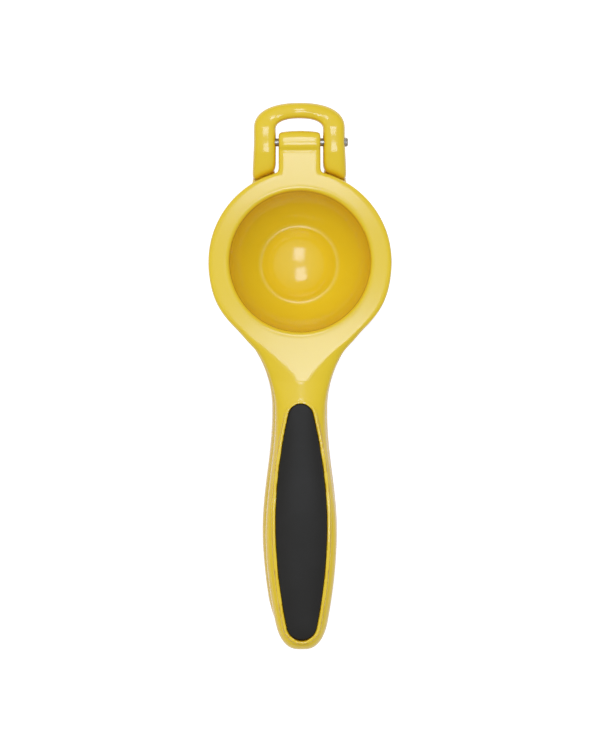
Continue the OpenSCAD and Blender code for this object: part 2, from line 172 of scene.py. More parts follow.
@dataclass(frozen=True)
class Lattice:
    """Rulers along X, Y and Z on which a shape is sampled, in runs (start, end, share of the step)."""

    x: Runs
    y: Runs
    z: Runs
    step: float = 1.0
    stride: int = 4
    reach: float = 3.8

    def ruler(self, runs: Runs) -> Array:
        """Positions of the grid lines along one axis.

        Args:
            runs: Runs of lines, each with its start, its end and its share of the lattice's step.

        Returns:
            The positions in rising order. The count of steps is a multiple of the stride.
        """
        coarser = 1.0
        parts = []
        for start, end, share in runs:
            count = max(1, round((end - start) / (self.step * share * coarser)))
            parts.append(np.linspace(start, end, count, endpoint=False))
        lines = np.concatenate([*parts, [runs[-1][1]]])
        missing = -(len(lines) - 1) % self.stride
        return np.concatenate([lines, lines[-1] + (lines[-1] - lines[-2]) * np.arange(1, missing + 1)])

    def rulers(self) -> tuple[Array, Array, Array]:
        """The three rulers."""
        return tuple(self.ruler(runs) for runs in (self.x, self.y, self.z))

    def sample(self, shape: Shape) -> Array:
        """Distances on every grid point, worked out only near the surface.

        Args:
            shape: Distance function of the shape.

        Returns:
            A block of distances. Far from the surface only the signs are right.
        """
        rulers = self.rulers()
        coarse = shape(*np.meshgrid(*(r[:: self.stride] for r in rulers), indexing="ij"))
        near = np.abs(coarse) < self.reach
        cells = np.zeros([n - 1 for n in near.shape], bool)
        for i, j, k in np.ndindex(2, 2, 2):
            cells |= near[i : i + cells.shape[0], j : j + cells.shape[1], k : k + cells.shape[2]]
        values, fine = coarse, cells
        for axis in range(3):
            values = values.repeat(self.stride, axis)
            fine = fine.repeat(self.stride, axis)
        values = values[: len(rulers[0]), : len(rulers[1]), : len(rulers[2])].copy()
        wanted = np.zeros(values.shape, bool)
        for i, j, k in np.ndindex(2, 2, 2):
            wanted[i : i + fine.shape[0], j : j + fine.shape[1], k : k + fine.shape[2]] |= fine
        at = np.nonzero(wanted)
        values[at] = shape(*(ruler[index] for ruler, index in zip(rulers, at)))
        return values

    def net(self, values: Array) -> tuple[Array, Array]:
        """Net of quads over the zero surface of a block of distances.

        Args:
            values: Distances on the grid points, negative inside.

        Returns:
            The vertices and the quads, which face outwards.
        """
        rulers = self.rulers()
        inside = values < 0
        cell_shape = [n - 1 for n in values.shape]
        quads, hits = [], []
        for axis in range(3):
            low = [slice(None)] * 3
            high = [slice(None)] * 3
            low[axis], high[axis] = slice(None, -1), slice(1, None)
            at = np.array(np.nonzero(inside[tuple(low)] != inside[tuple(high)]))
            up = at.copy()
            up[axis] += 1
            start, end = values[tuple(at)], values[tuple(up)]
            hit = np.stack([rulers[d][at[d]] for d in range(3)])
            hit[axis] += start / (start - end) * (rulers[axis][up[axis]] - rulers[axis][at[axis]])
            ring = []
            for step_u, step_v in ((-1, -1), (0, -1), (0, 0), (-1, 0)):
                cell = at.copy()
                cell[(axis + 1) % 3] += step_u
                cell[(axis + 2) % 3] += step_v
                ring.append(np.ravel_multi_index(tuple(cell), cell_shape))
            ring = np.array(ring)
            quads.append(np.where(start < 0, ring, ring[::-1]).T)
            hits.append(hit.T)
        faces, points = np.concatenate(quads), np.concatenate(hits)
        _, index = np.unique(faces, return_inverse=True)
        index = index.reshape(faces.shape)
        count = np.bincount(index.ravel())
        sums = [np.bincount(index.ravel(), weights=np.repeat(points[:, d], 4)) for d in range(3)]
        return np.stack(sums, 1) / count[:, None], index


def slopes(shape: Shape, points: Array, step: float = 0.03) -> tuple[Array, Array]:
    """Distances and their slopes at a list of points.

    Args:
        shape: Distance function of the shape.
        points: The points, one per row.
        step: Offset used for the slopes.

    Returns:
        The distances, and the slopes with one row per point.
    """
    rows = []
    for axis in range(3):
        shift = np.zeros(3)
        shift[axis] = step
        rows.append((shape(*(points + shift).T) - shape(*(points - shift).T)) / (2 * step))
    return shape(*points.T), np.stack(rows, 1)


def skin(name: str, shape: Shape, lattice: Lattice, rounds: int = 3) -> bpy.types.Object:
    """Smooth mesh of a shape.

    Args:
        name: Name of the new object.
        shape: Distance function in millimetres.
        lattice: Grid on which the shape is sampled.
        rounds: How many times the vertices are drawn onto the surface.

    Returns:
        An object at the origin whose mesh is in metres.
    """
    points, quads = lattice.net(lattice.sample(shape))
    for _ in range(rounds):
        value, slope = slopes(shape, points)
        move = value / np.maximum((slope**2).sum(1), LEAST_SLOPE_SQUARED)
        points = points - slope * np.clip(move, -LARGEST_MOVE, LARGEST_MOVE)[:, None]
    _, slope = slopes(shape, points)
    normals = slope / np.maximum(np.linalg.norm(slope, axis=1), TINY)[:, None]
    mesh = bpy.data.meshes.new(name)
    mesh.from_pydata((points * MM).tolist(), [], quads.tolist())
    mesh.polygons.foreach_set("use_smooth", np.ones(len(mesh.polygons), bool))
    mesh.normals_split_custom_set_from_vertices(normals.tolist())
    # Steepness of each vertex at rest: the mask for the painted shade on steep enamel faces.
    mesh.attributes.new(STEEPNESS, "FLOAT", "POINT").data.foreach_set(
        "value", (1 - np.abs(normals[:, 2])) ** STEEP_POWER
    )
    mesh.update()
    return add_object(name, mesh)


# ---------------------------------------------------------------- nodes and finishes


def feed(tree: bpy.types.NodeTree, node: bpy.types.Node, inputs: dict[str | int, object]) -> None:
    """Fills a node's inputs.

    Args:
        tree: Tree that holds the node.
        node: The node.
        inputs: Sockets to link or plain values to set, by input.
    """
    for key, value in inputs.items():
        if isinstance(value, bpy.types.NodeSocket):
            tree.links.new(value, node.inputs[key])
        else:
            node.inputs[key].default_value = value


def add_node(
    tree: bpy.types.NodeTree, kind: str, inputs: dict[str | int, object], **settings: object
) -> bpy.types.Node:
    """Adds a node to a tree.

    Args:
        tree: The tree.
        kind: Blender's name of the node's type.
        inputs: Sockets or values by input.
        settings: Properties of the node, set before its inputs.

    Returns:
        The node.
    """
    made = tree.nodes.new(kind)
    for key, value in settings.items():
        setattr(made, key, value)
    feed(tree, made, inputs)
    return made


def reckon(tree: bpy.types.NodeTree, operation: str, *values: object) -> bpy.types.NodeSocket:
    """Result of a Math node that takes the given sockets or numbers."""
    return add_node(tree, "ShaderNodeMath", dict(enumerate(values)), operation=operation).outputs[0]


def noise(tree: bpy.types.NodeTree, scale: float, detail: float = 2.0) -> bpy.types.NodeSocket:
    """Noise on object coordinates.

    Args:
        tree: Node tree of the material.
        scale: Grains per metre.
        detail: Octaves of detail.

    Returns:
        The noise node's value socket.
    """
    place = add_node(tree, "ShaderNodeTexCoord", {}).outputs["Object"]
    grain = add_node(tree, "ShaderNodeTexNoise", {"Vector": place, "Scale": scale, "Detail": detail})
    return grain.outputs["Fac"]


def relief(
    tree: bpy.types.NodeTree, height: bpy.types.NodeSocket, depth: float, strength: float
) -> bpy.types.NodeSocket:
    """Bump from a height socket.

    Args:
        tree: Node tree of the material.
        height: Socket that gives the height.
        depth: Height of a full step in metres.
        strength: Strength of the bump.

    Returns:
        The normal socket.
    """
    bump = add_node(tree, "ShaderNodeBump", {"Height": height, "Distance": depth, "Strength": strength})
    return bump.outputs["Normal"]


def ramp(
    tree: bpy.types.NodeTree, source: bpy.types.NodeSocket, places: tuple[float, float], *colours: Colour
) -> bpy.types.NodeSocket:
    """Colour ramp over a value.

    Args:
        tree: Node tree of the material.
        source: Socket that gives the value.
        places: Where on the ramp its two colours stand.
        colours: The two colours.

    Returns:
        The ramp's colour socket.
    """
    made = add_node(tree, "ShaderNodeValToRGB", {"Fac": source})
    for element, place, colour in zip(made.color_ramp.elements, places, colours):
        element.position = place
        element.color = (*colour, 1.0)
    return made.outputs["Color"]


def new_material(name: str) -> bpy.types.Material:
    """A new material with nodes."""
    made = bpy.data.materials.new(name)
    made.use_nodes = True
    return made


@dataclass(frozen=True)
class Finish(ABC):
    """A surface finish that makes its own material when it is first asked for."""

    name: str

    @abstractmethod
    def shade(self, tree: bpy.types.NodeTree) -> dict[str, object]:
        """Adds the finish's nodes.

        Args:
            tree: Node tree of the material.

        Returns:
            Sockets or values for the main shader's inputs.
        """

    def material(self) -> bpy.types.Material:
        """The finish's material."""
        made = bpy.data.materials.get(self.name)
        if made is None:
            made = new_material(self.name)
            tree = made.node_tree
            feed(tree, tree.nodes["Principled BSDF"], self.shade(tree))
        return made


@dataclass(frozen=True)
class Enamel(Finish):
    """Glossy enamel with a clear coat over a cast surface, with painted shade that makes steep faces darker
    and more orange.
    """

    name: str = "lemon_enamel"
    colour: Colour = (0.875, 0.625, 0.013)
    speck_colour: Colour = (0.855, 0.605, 0.012)
    # Painted shade: steep faces are mixed towards this darker, more orange colour, as they catch less light.
    steep_shade_colour: Colour = (0.80, 0.36, 0.003)
    speck_scale: float = 30.0
    roughness: float = 0.45
    specular: float = 0.2
    coat_roughness: float = 0.115
    coat_ior: float = 1.5
    cast_scale: float = 260.0
    cast_depth: float = 0.00003
    cast_strength: float = 0.25

    def shade(self, tree: bpy.types.NodeTree) -> dict[str, object]:
        """Adds the enamel's nodes."""
        tone = ramp(tree, noise(tree, self.speck_scale), (0.35, 0.65), self.speck_colour, self.colour)
        # Mask for the painted shade on steep faces, taken from the rest normals. The shade stays on the same
        # faces when the lever opens.
        steep = add_node(tree, "ShaderNodeAttribute", {}, attribute_name=STEEPNESS)
        tones = {"A": tone, "B": (*self.steep_shade_colour, 1.0), "Factor": steep.outputs["Fac"]}
        cast = relief(tree, noise(tree, self.cast_scale), self.cast_depth, self.cast_strength)
        return {
            "Base Color": add_node(tree, "ShaderNodeMix", tones, data_type="RGBA").outputs["Result"],
            "Roughness": self.roughness,
            "Specular IOR Level": self.specular,
            "Coat Weight": 1.0,
            "Coat Roughness": self.coat_roughness,
            "Coat IOR": self.coat_ior,
            "Normal": cast,
            "Coat Normal": cast,
        }


@dataclass(frozen=True)
class SoftPad(Finish):
    """Matte soft rubber with a fine moulded grain."""

    name: str = "soft_rubber"
    colour: Colour = (0.014, 0.014, 0.0145)
    worn_colour: Colour = (0.018, 0.018, 0.019)
    shine: Colour = (1.0, 0.93, 0.76)
    roughness: float = 0.5
    specular: float = 0.35
    wear_scale: float = 60.0
    grain_scale: float = 3200.0
    grain_depth: float = 0.00004
    grain_strength: float = 0.6

    def shade(self, tree: bpy.types.NodeTree) -> dict[str, object]:
        """Adds the rubber's nodes."""
        grain = noise(tree, self.grain_scale, 3.0)
        tone = ramp(tree, noise(tree, self.wear_scale, 4.0), (0.4, 0.7), self.colour, self.worn_colour)
        return {
            "Base Color": tone,
            "Roughness": self.roughness,
            "Specular IOR Level": self.specular,
            "Specular Tint": (*self.shine, 1.0),
            "Normal": relief(tree, grain, self.grain_depth, self.grain_strength),
        }


@dataclass(frozen=True)
class CarrierPlastic(Finish):
    """Rigid grey plastic of the carriers."""

    name: str = "carrier_plastic"
    colour: Colour = (0.075, 0.075, 0.08)
    pale_colour: Colour = (0.09, 0.09, 0.095)
    mottle_scale: float = 90.0
    roughness: float = 0.5

    def shade(self, tree: bpy.types.NodeTree) -> dict[str, object]:
        """Adds the plastic's nodes."""
        tone = ramp(tree, noise(tree, self.mottle_scale), (0.3, 0.7), self.colour, self.pale_colour)
        return {"Base Color": tone, "Roughness": self.roughness}


@dataclass(frozen=True)
class PinSteel(Finish):
    """Ground steel of the hinge pin."""

    name: str = "ground_steel"
    colour: Colour = (0.42, 0.38, 0.3)
    dull_colour: Colour = (0.37, 0.33, 0.26)
    mottle_scale: float = 500.0
    roughness: float = 0.28
    grind_scale: float = 2600.0
    grind_depth: float = 0.00001
    grind_strength: float = 0.5

    def shade(self, tree: bpy.types.NodeTree) -> dict[str, object]:
        """Adds the steel's nodes."""
        tone = ramp(tree, noise(tree, self.mottle_scale), (0.3, 0.7), self.dull_colour, self.colour)
        return {
            "Base Color": tone,
            "Metallic": 1.0,
            "Roughness": self.roughness,
            "Normal": relief(tree, noise(tree, self.grind_scale), self.grind_depth, self.grind_strength),
        }


FINISHES: dict[Surface, Finish] = {
    Surface.ENAMEL: Enamel(),
    Surface.SOFT_PAD: SoftPad(),
    Surface.CARRIER: CarrierPlastic(),
    Surface.PIN_STEEL: PinSteel(),
}


def dress(piece: bpy.types.Object, surface: Surface, body: str, node: str) -> bpy.types.Object:
    """Gives a finished piece its finish, its body and the CAD node that it stands for.

    Args:
        piece: The finished piece.
        surface: Material slot that the piece takes its finish from.
        body: CAD body that the piece rides on.
        node: CAD node that the piece replaces.

    Returns:
        The piece.
    """
    piece.data.materials.clear()
    piece.data.materials.append(FINISHES[surface].material())
    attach(piece, body)
    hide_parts(node)
    return piece


# ---------------------------------------------------------------- handles and grips


@dataclass(frozen=True)
class Handle:
    """Curves that a handle, its pocket, its channel and its grip share. Y counts towards its end."""

    side: Side
    extra: float
    root_y: float
    neck_fill: float
    # outline seen from above
    head_r: float = 39.0
    neck_y: float = 64.0
    neck_hw: float = 10.75
    belly_y: float = 117.0
    belly_hw: float = 15.1
    belly_half: float = 8.0
    tip_hw: float = 8.65
    reach: float = 165.2
    tip_run: float = 13.5
    tip_power: float = 2.95
    fall_power: float = 1.8
    fill_y: float = 32.5
    fill_run: float = 4.5
    bury: float = 0.35
    bury_run: tuple[float, float] = (24.0, 34.0)
    root_sink: float = 2.6
    root_run: float = 7.0
    root_lead: float = 1.0
    extra_fade: tuple[float, float] = (146.0, 161.0)
    # heights along the middle line
    ring_top: float = 42.0
    ring_t: float = 6.0
    rim_top: float = 35.7
    inset: float = 0.12
    thickness: float = 13.0
    thin_run: tuple[float, float] = (5.0, 18.0)
    back_rise: float = 3.875
    rise_lead: float = 12.0
    end_drop: float = 0.6
    saddle_rise: float = 0.035
    saddle_run: float = 14.0
    gusset_z: float = 15.0
    tip_lift: float = 1.5
    plateau_end: float = 50.6
    ridge_swell: float = 0.0085
    ridge_run: float = 34.0
    ridge_start: float = 0.035
    apex_run: float = 5.0
    # cross-sections
    mid_limit: float = 5.0
    press_mid: float = 0.45
    press_round: float = 0.86
    apex_round: float = 1.05
    inner_rounds: tuple[float, float] = (0.3, 0.6)
    turn_run: tuple[float, float] = (-4.0, 6.0)
    bowl_mids: tuple[float, float] = (0.14, 0.55)
    bowl_rounds: tuple[float, float] = (1.7, 0.9)
    ceiling_rise: float = 0.12
    ceiling_power: float = 1.5
    flat_edge: float = 0.4
    # pocket, pad and carrier
    pad_proud: float = 0.35
    pad_t: float = 2.8
    core_t: float = 1.8
    pad_near: float = 60.3
    pad_far: float = 160.8
    pad_hw: float = 10.95
    pad_near_hw: float = 4.2
    near_fall: float = 1.86
    pad_far_hw: float = 5.2
    corner_gap: float = 0.2
    share_limit: float = 1.3
    land_w: float = 1.6
    land_edge: float = 0.5
    pocket_floor_edge: float = 0.6
    pocket_edge: float = 0.4
    peg_holes_y: tuple[float, float] = (88.0, 136.0)
    peg_hole_r: float = 2.15
    # channel in the inner face
    channel_near: float = 76.0
    channel_far: float = 153.2
    channel_wall: float = 4.4
    channel_depth: float = 4.4
    channel_r: float = 4.0
    channel_floor_edge: float = 1.6
    channel_edge: float = 1.2
    # sampling
    table_lead: float = 3.0
    table_rows: int = 1200
    zone_lead: float = 7.0
    pocket_lead: float = 5.0
    grid_half: float = 12.5
    grid_lead: float = 2.0

    @property
    def flare_r(self) -> float:
        """Radius of the arc from the head's edge to the neck."""
        return (self.neck_hw**2 + self.neck_y**2 - self.head_r**2) / (2 * (self.head_r - self.neck_hw))

    @property
    def tangent_y(self) -> float:
        """Where the head's edge ends and the arc to the neck begins."""
        return self.neck_y * self.head_r / (self.head_r + self.flare_r)

    @property
    def pad_depth(self) -> float:
        """Depth of the grip's pocket under the handle's back."""
        return self.pad_t + self.core_t - self.pad_proud

    def half_width(self, y: Array) -> Array:
        """Half-width of the handle at distance y."""
        arc = np.sqrt(np.maximum(self.flare_r**2 - (self.neck_y - y) ** 2, 0))
        head = np.sqrt(np.maximum(self.head_r**2 - y**2, 0))
        flare = np.where(y < self.tangent_y, head, self.neck_hw + self.flare_r - arc)
        flare += self.neck_fill * np.exp(-(((y - self.fill_y) / self.fill_run) ** 2))
        flare += self.extra * span(self.tangent_y, self.neck_y, y) - self.bury * (1 - span(*self.bury_run, y))
        sunk = span(self.root_y - self.root_lead, self.root_y + self.root_run, y)
        flare -= self.root_sink * (1 - ease(sunk))
        swell = self.extra + mix(self.neck_hw, self.belly_hw, ease(span(self.neck_y, self.belly_y, y)))
        past = span(self.belly_y, self.reach, y) ** self.fall_power
        fall = self.belly_hw - (self.belly_hw - self.tip_hw) * past
        fall += self.extra * (1 - ease(span(*self.extra_fade, y)))
        return np.where(y < self.neck_y, flare, np.where(y < self.belly_y, swell, fall))

    def back(self, y: Array) -> Array:
        """Height of the handle's back on its middle line."""
        if self.side is Side.BOWL:
            lift = self.tip_lift * span(self.belly_y + self.belly_half, self.reach, y) ** 2
            return self.pad_proud + self.gusset_z * self.bow(y) + lift
        level_y = self.belly_y - self.belly_half
        rise = self.back_rise * ease(span(self.neck_y - self.rise_lead, level_y, y))
        rise = rise * (1 - self.end_drop * ease(span(level_y, self.reach, y)))
        past = np.maximum(y - self.plateau_end, 0)
        rise = rise + self.saddle_rise * past * np.exp(-((past / self.saddle_run) ** 2))
        return self.ring_top + rise + self.ridge(y)

    def ridge(self, y: Array) -> Array:
        """Height of the press handle's ridge over the flat that cuts it off between ring and neck."""
        ahead = np.maximum(self.plateau_end - y, 0)
        start = self.ridge_start * ahead * np.exp(-((ahead / self.apex_run) ** 2))
        return start + self.ridge_swell * ahead**2 / (1 + (ahead / self.ridge_run) ** 2)

    def bow(self, y: Array) -> Array:
        """Share of the way from its lowest place to the rim that the bowl handle has risen."""
        return 1 - np.sin(np.pi / 2 * span(self.head_r, self.belly_y + self.belly_half, y))

    def inner(self, y: Array) -> Array:
        """Height of the handle's inner face on its middle line."""
        if self.side is Side.BOWL:
            fall = self.rim_top - self.inset - self.pad_proud - self.gusset_z - self.thickness
            return self.back(y) + self.thickness + fall * self.bow(y)
        near, far = self.thin_run
        thickening = ease(span(self.head_r + near, self.neck_y + far, y))
        return self.back(y) - self.ridge(y) - mix(self.ring_t - self.inset, self.thickness, thickening)

    def table(self) -> dict[str, Array]:
        """Section sizes along the handle.

        Returns:
            Columns by name: y, half, mid, back, inner, back_power, inner_power and drift.
        """
        y = np.linspace(self.root_y - self.table_lead, self.reach, self.table_rows)
        back, inner, half = self.back(y), self.inner(y), self.half_width(y)
        if self.side is Side.PRESS:
            turn = span(self.head_r, self.neck_y, y)
            mid = mix(inner, np.minimum(back, self.ring_top + self.mid_limit), self.press_mid)
            apex = np.exp(-(((y - self.plateau_end) / self.apex_run) ** 2))
            back_round = mix(self.press_round, self.apex_round, apex)
        else:
            near, far = self.turn_run
            turn = ease(span(self.head_r + near, self.neck_y + far, y))
            mid = mix(inner, back, mix(*self.bowl_mids, turn))
            back_round = mix(*self.bowl_rounds, turn)
        inner_round = mix(*self.inner_rounds, turn)
        return {
            "y": y,
            "half": half,
            "mid": mid,
            "back": np.abs(back - mid),
            "inner": np.abs(inner - mid),
            "back_power": 2 / back_round,
            "inner_power": 2 / inner_round,
            "drift": np.gradient(half, y),
        }

    def section(self, y: Array) -> dict[str, Array]:
        """Section sizes at the given distances, by name."""
        table = self.table()
        return {key: np.interp(y, table["y"], column) for key, column in table.items() if key != "y"}

    def body(self, x: Array, y: Array, z: Array) -> Array:
        """Distance to the plain handle without its pocket and channel.

        Args:
            x: Places across.
            y: Distances towards the handle's end.
            z: Heights.

        Returns:
            The distances.
        """
        result = np.full(np.shape(x), FAR_OFF)
        zone = y > self.root_y - self.zone_lead
        x, y, z = x[zone], y[zone], z[zone]
        at = self.section(y)
        lift = z - at["mid"]
        to_back = lift * self.side.inward < 0
        height = np.where(to_back, at["back"], at["inner"])
        power = np.where(to_back, at["back_power"], at["inner_power"])
        run = np.maximum(y - self.reach + self.tip_run, 0) / self.tip_run * at["half"]
        across = (np.abs(x) ** self.tip_power + run**self.tip_power) ** (1 / self.tip_power)
        shape = oval(across, lift, at["half"], height, power, at["drift"])
        if self.side is Side.PRESS:
            past = np.maximum(y - self.plateau_end, 0)
            ceiling = self.ring_top + self.ceiling_rise * past**self.ceiling_power
            shape = meet(shape, z - ceiling, self.flat_edge)
        result[zone] = np.maximum(shape, self.root_y - y)
        return result

    def pad_outline(self, x: Array, y: Array) -> Array:
        """Distance to the outline of the grip's pocket, seen from the back.

        Args:
            x: Places across.
            y: Distances towards the handle's end.

        Returns:
            The distances.
        """
        half, drift = self.pad_half(y)
        side = (np.abs(x) - half) / np.sqrt(1 + drift**2)
        near = round_corner(side, self.pad_near - y, self.pad_near_hw - self.corner_gap)
        far = round_corner(side, y - self.pad_far, self.pad_far_hw - self.corner_gap)
        return np.where(2 * y < self.pad_near + self.pad_far, near, far)

    def pad_half(self, y: Array) -> tuple[Array, Array]:
        """Half-width of the grip's pocket before its ends are rounded, and how fast it falls towards them."""
        middle = (self.pad_near + self.pad_far) / 2
        length = middle - self.pad_near
        near_share = np.clip((middle - y) / length, 0, self.share_limit)
        far_share = np.clip((y - middle) / length, 0, self.share_limit)
        near_drop, far_drop = self.pad_hw - self.pad_near_hw, self.pad_hw - self.pad_far_hw
        half = self.pad_hw - near_drop * near_share**self.near_fall - far_drop * far_share**2
        near_drift = self.near_fall * near_drop * near_share ** (self.near_fall - 1)
        return half, (near_drift - 2 * far_drop * far_share) / length

    def land(self, outline: Array, x: Array, y: Array, z: Array) -> Array:
        """Distance to the level land round the grip's pocket.

        Args:
            outline: Distances to the pocket's outline.
            x: Places across.
            y: Distances towards the handle's end.
            z: Heights.

        Returns:
            The distances.
        """
        at = self.section(y)
        share = np.clip(np.minimum(np.abs(x), self.pad_half(y)[0]) / at["half"], 0, 0.99)
        crown = at["back"] * (1 - share ** at["back_power"]) ** (1 / at["back_power"])
        over = (at["mid"] - z) * self.side.inward - crown
        half = self.land_w / 2
        band = np.maximum(np.abs(outline - half) - half, -over - self.land_w)
        return meet(band, over, self.land_edge)

    def hollowed(self, body: Array, x: Array, y: Array, z: Array) -> Array:
        """A body with the grip's pocket, its lip, the channel and the peg holes.

        Args:
            body: Distances to the body.
            x: Places across.
            y: Distances towards the handle's end.
            z: Heights.

        Returns:
            The distances to the hollowed body.
        """
        result = body.copy()
        zone = y > self.pad_near - self.pocket_lead
        x, y, z, body = x[zone], y[zone], z[zone], body[zone]
        inward = self.side.inward
        back, inner = self.back(y), self.inner(y)
        outline = self.pad_outline(x, y)
        body = join(body, self.land(outline, x, y, z), self.land_edge)
        pocket = meet(outline, (z - back) * inward - self.pad_depth, self.pocket_floor_edge)
        body = carve(body, pocket, self.pocket_edge)
        half = self.half_width(y) - self.extra - self.channel_wall
        side = np.abs(x) - half
        ends = np.maximum(self.channel_near - y, y - self.channel_far)
        channel = round_corner(side, ends, self.channel_r)
        channel = meet(channel, -self.channel_depth - (z - inner) * inward, self.channel_floor_edge)
        body = carve(body, channel, self.channel_edge)
        for peg_y in self.peg_holes_y:
            body = carve(body, np.hypot(x, y - peg_y) - self.peg_hole_r, self.pocket_edge)
        result[zone] = body
        return result

    def pocket_grid(self, heights: tuple[float, float], shares: Triple, step: float, reach: float) -> Lattice:
        """Lattice over the grip's pocket.

        Args:
            heights: Lowest and highest place of the lattice.
            shares: Shares of the step along X, Y and Z.
            step: Step of the lattice.
            reach: How near to the surface a place counts as close.

        Returns:
            The lattice.
        """
        x_runs = ((-self.grid_half, self.grid_half, shares[0]),)
        y_runs = ((-self.pad_far - self.grid_lead, -self.pad_near + self.grid_lead, shares[1]),)
        return Lattice(x_runs, y_runs, ((*heights, shares[2]),), step=step, reach=reach)


@dataclass(frozen=True)
class Grip:
    """Soft pad that fills a handle's pocket and stands a little proud of it."""

    handle: Handle
    fit: float = 0.15
    edge: float = 1.0
    bed_edge: float = 0.4
    step: float = 0.55
    shares: Triple = (1.0, 1.0, 0.8)
    reach: float = 3.0
    press_z: tuple[float, float] = (38.5, 47.8)
    bowl_z: tuple[float, float] = (-1.2, 14.5)

    def shape(self, x: Array, y: Array, z: Array) -> Array:
        """Distance to the pad."""
        handle, away = self.handle, -y
        top = handle.body(x, away, z) - handle.pad_proud
        bed = (z - handle.back(away)) * handle.side.inward - (handle.pad_depth - handle.core_t)
        outline = handle.pad_outline(x, away) + self.fit
        return meet(meet(top, outline, self.edge), bed, self.bed_edge)

    def build(self) -> bpy.types.Object:
        """Builds and dresses the pad."""
        side = self.handle.side
        heights = self.press_z if side is Side.PRESS else self.bowl_z
        lattice = self.handle.pocket_grid(heights, self.shares, self.step, self.reach)
        piece = skin(f"{side.value}_grip_pad", self.shape, lattice)
        return dress(piece, Surface.SOFT_PAD, side.value, f"{side.value}_grip")


# ---------------------------------------------------------------- geometry nodes helpers


class NodeGroup:
    """A geometry tree under construction, with named inputs and a shared material."""

    def __init__(self, name: str) -> None:
        """Begins a tree with a geometry input and output.

        Args:
            name: Name of the tree.
        """
        self.tree = bpy.data.node_groups.new(name, "GeometryNodeTree")
        self.tree.interface.new_socket("Geometry", in_out="INPUT", socket_type="NodeSocketGeometry")
        self.tree.interface.new_socket("Geometry", in_out="OUTPUT", socket_type="NodeSocketGeometry")
        self.source = self.tree.nodes.new("NodeGroupInput")
        self.sink = self.tree.nodes.new("NodeGroupOutput")
        self.values: dict[str, object] = {}

    def given(self, name: str, value: float | int | Triple) -> bpy.types.NodeSocket:
        """Adds a named input.

        Args:
            name: Name of the input.
            value: Its value on the finished piece.

        Returns:
            The socket that carries it inside the tree.
        """
        kind = "NodeSocketVector" if isinstance(value, tuple) else "NodeSocketFloat"
        kind = "NodeSocketInt" if isinstance(value, int) else kind
        item = self.tree.interface.new_socket(name, in_out="INPUT", socket_type=kind)
        self.values[item.identifier] = value
        return self.source.outputs[name]

    def node(self, kind: str, inputs: dict[str | int, object], **settings: object) -> bpy.types.NodeSocket:
        """Adds a node.

        Args:
            kind: Blender's name of the node's type, without its GeometryNode prefix.
            inputs: Sockets or values by the names of the node's inputs.
            settings: Properties of the node.

        Returns:
            The node's first output.
        """
        return add_node(self.tree, f"GeometryNode{kind}", inputs, **settings).outputs[0]

    def merged(self, sockets: list[bpy.types.NodeSocket]) -> bpy.types.NodeSocket:
        """Joins several geometries into one."""
        made = self.tree.nodes.new("GeometryNodeJoinGeometry")
        for socket in sockets:
            self.tree.links.new(socket, made.inputs[0])
        return made.outputs[0]

    def plain_mesh(
        self, name: str, geometry: bpy.types.NodeSocket, material: bpy.types.Material, base: bpy.types.Mesh
    ) -> bpy.types.Object:
        """Ends the tree, runs it on a base mesh and keeps the result as a plain mesh.

        Args:
            name: Name of the finished object.
            geometry: Last geometry of the tree.
            material: Material of everything that the tree makes.
            base: Mesh that goes into the tree.

        Returns:
            An object at the origin with no modifier.
        """
        real = self.node("RealizeInstances", {"Geometry": geometry})
        feed(self.tree, self.sink, {0: self.node("SetMaterial", {"Geometry": real, "Material": material})})
        carrier = add_object(f"{name}_tree", base)
        modifier = carrier.modifiers.new("build", "NODES")
        modifier.node_group = self.tree
        for identifier, value in self.values.items():
            modifier[identifier] = value
        evaluated = carrier.evaluated_get(bpy.context.evaluated_depsgraph_get())
        mesh = bpy.data.meshes.new_from_object(evaluated)
        mesh.name = name
        carrier.modifiers.clear()
        bpy.data.objects.remove(carrier)
        return add_object(name, mesh)


